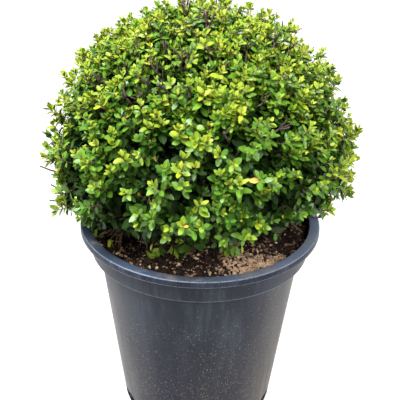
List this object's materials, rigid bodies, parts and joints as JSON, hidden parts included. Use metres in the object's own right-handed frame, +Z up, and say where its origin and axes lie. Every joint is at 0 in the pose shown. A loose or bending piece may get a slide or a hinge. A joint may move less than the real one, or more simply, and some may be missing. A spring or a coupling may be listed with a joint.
{
  "type": "potted clipped shrub",
  "caption": "Evergreen box honeysuckle shrub clipped to a dense ball of small glossy leaves, in a round tapering dark plastic nursery pot filled with compost.",
  "frame": {"origin": "centre of the pot's flat underside, on the surface that it stands on", "axes": "+Z up through the pot's axis and the crown, -Y towards the front of the picture"},
  "size_m": [0.357, 0.3563, 0.5178],
  "materials": {
    "pot": "satin, dusty",
    "soil": "loose and crumbly",
    "bark": "rough",
    "foliage": "glossy leaves"
  },
  "bodies": {
    "root": {"pot": "pot", "soil": "soil", "stem": "bark", "bough_top": "bark", "bough_upper_1": "bark", "bough_upper_2": "bark", "bough_upper_3": "bark", "bough_upper_4": "bark", "bough_upper_5": "bark", "bough_lower_1": "bark", "bough_lower_2": "bark", "bough_lower_3": "bark", "bough_lower_4": "bark", "bough_lower_5": "bark", "bough_lower_6": "bark", "bough_lower_7": "bark", "foliage_top": "foliage", "foliage_upper_1": "foliage", "foliage_upper_2": "foliage", "foliage_upper_3": "foliage", "foliage_upper_4": "foliage", "foliage_upper_5": "foliage", "foliage_lower_1": "foliage", "foliage_lower_2": "foliage", "foliage_lower_3": "foliage", "foliage_lower_4": "foliage", "foliage_lower_5": "foliage", "foliage_lower_6": "foliage", "foliage_lower_7": "foliage"}
  },
  "joints": []
}
